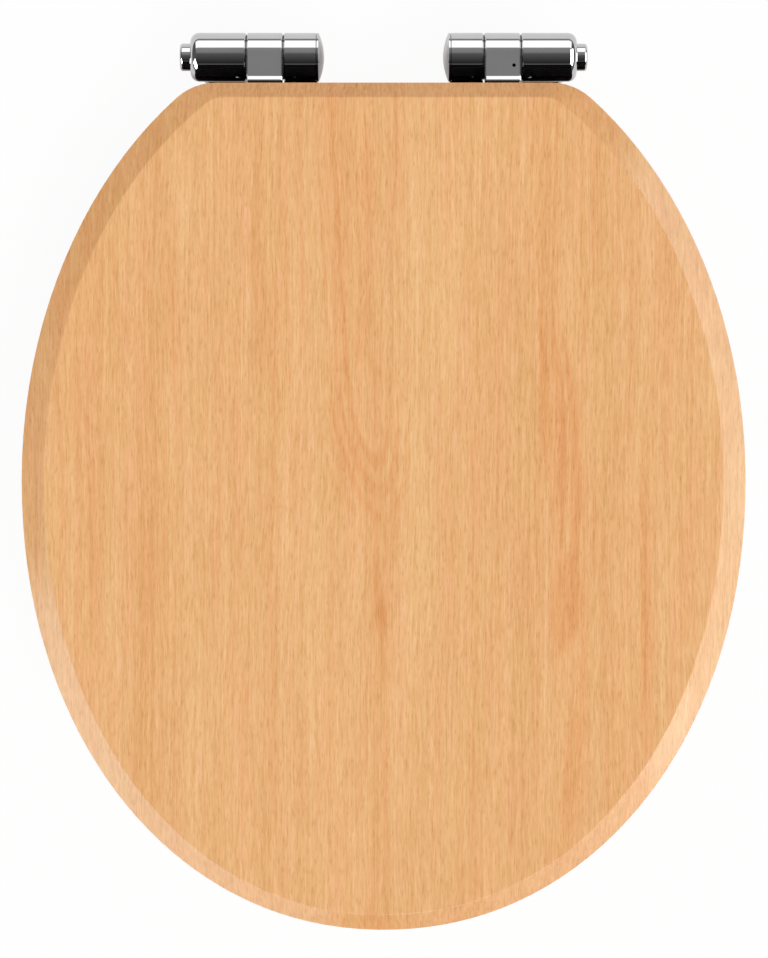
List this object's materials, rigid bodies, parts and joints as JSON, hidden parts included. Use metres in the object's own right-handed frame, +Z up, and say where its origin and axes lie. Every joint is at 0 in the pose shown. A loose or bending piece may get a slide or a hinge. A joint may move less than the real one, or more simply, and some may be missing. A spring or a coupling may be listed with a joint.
{
  "type": "toilet seat",
  "caption": "Wooden toilet seat: a bevelled oval lid over a ring seat, on chrome barrel hinges with push-button release, soft-close dampers and studs for the pan.",
  "frame": {"origin": "midway between the two pan studs, on the top plane of the pan", "axes": "+Z up out of the pan, +Y to the back, +X to the right of someone facing the seat's hinges from the front; the hinge axis runs along X"},
  "size_m": [0.37, 0.4605, 0.109],
  "materials": {
    "wood": "clear satin lacquer on pale beech",
    "chrome": "polished",
    "steel": "turned, bare",
    "rubber": "pale grey, matte",
    "dark_plastic": "moulded, matte",
    "white_plastic": "moulded, matte"
  },
  "bodies": {
    "hinge_base": {"left_foot": "chrome", "right_foot": "chrome", "foot_gaskets": "rubber", "pan_studs": "steel", "cone_washers": "rubber", "wing_nuts": "white_plastic", "left_pillar": "chrome", "right_pillar": "chrome", "left_hinge_pin": "steel", "right_hinge_pin": "steel", "thrust_washers": "dark_plastic", "left_button_spring": "steel", "right_button_spring": "steel", "lid_damper_rotor": "dark_plastic", "ring_damper_rotor": "dark_plastic"},
    "ring": {"seat_ring": "wood", "ring_buffers": "rubber", "left_ring_bracket": "chrome", "right_ring_bracket": "chrome", "ring_bracket_screws": "steel", "left_hinge_cap": "chrome", "right_hinge_cap": "chrome", "left_ring_bush": "dark_plastic", "ring_damper_housing": "dark_plastic", "ring_damper_cover": "dark_plastic"},
    "lid": {"lid": "wood", "lid_buffers": "rubber", "left_lid_bracket": "chrome", "right_lid_bracket": "chrome", "lid_bracket_screws": "steel", "right_lid_bush": "dark_plastic", "lid_damper_housing": "dark_plastic", "lid_damper_cover": "dark_plastic"},
    "left_button": {"left_release_button": "chrome"},
    "right_button": {"right_release_button": "chrome"}
  },
  "joints": [
    {"name": "ring_hinge", "type": "hinge", "parent": "hinge_base", "child": "ring", "pos_m": [0, 0, 0.028], "axis": [-1, 0, 0], "range_deg": [0, 93]},
    {"name": "lid_hinge", "type": "hinge", "parent": "ring", "child": "lid", "pos_m": [0, 0, 0.028], "axis": [-1, 0, 0], "range_deg": [0, 97]},
    {"name": "left_button_press", "type": "slide", "parent": "hinge_base", "child": "left_button", "axis": [1, 0, 0], "range_m": [0, 0.0035], "stiffness_N_per_m": 400, "springref_m": -0.003, "deforming": ["left_button_spring"]},
    {"name": "right_button_press", "type": "slide", "parent": "hinge_base", "child": "right_button", "axis": [-1, 0, 0], "range_m": [0, 0.0035], "stiffness_N_per_m": 400, "springref_m": -0.003, "deforming": ["right_button_spring"]}
  ]
}
